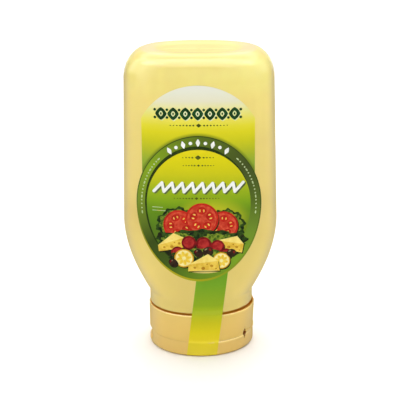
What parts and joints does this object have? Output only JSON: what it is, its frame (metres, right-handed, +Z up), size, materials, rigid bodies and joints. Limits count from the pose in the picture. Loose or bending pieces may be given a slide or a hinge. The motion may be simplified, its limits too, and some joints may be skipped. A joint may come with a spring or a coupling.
{
  "type": "mayonnaise squeeze bottle",
  "caption": "Oval plastic squeeze bottle of mayonnaise standing upside down on its round flip-top closure, with a die-cut front label and a seal strip down to the lid.",
  "frame": {"origin": "middle of the lid's flat foot, on the surface that the bottle stands on", "axes": "+Z up through the bottle, from the closure to the dished end; -Y towards the label; +X to the right of it, where the lid's hinge panel is"},
  "size_m": [0.0856, 0.0575, 0.17],
  "materials": {
    "bottle": "glossy cream squeeze plastic",
    "collar": "satin deep cream moulded plastic",
    "lid": "satin deep cream moulded plastic",
    "label": "gloss film label in white, yellow and greens",
    "strip": "gloss film strip, green fading to yellow"
  },
  "bodies": {
    "root": {"bottle": "bottle", "closure_collar": "collar", "closure_lid": "lid", "label": "label", "seal_strip": "strip"}
  },
  "joints": []
}
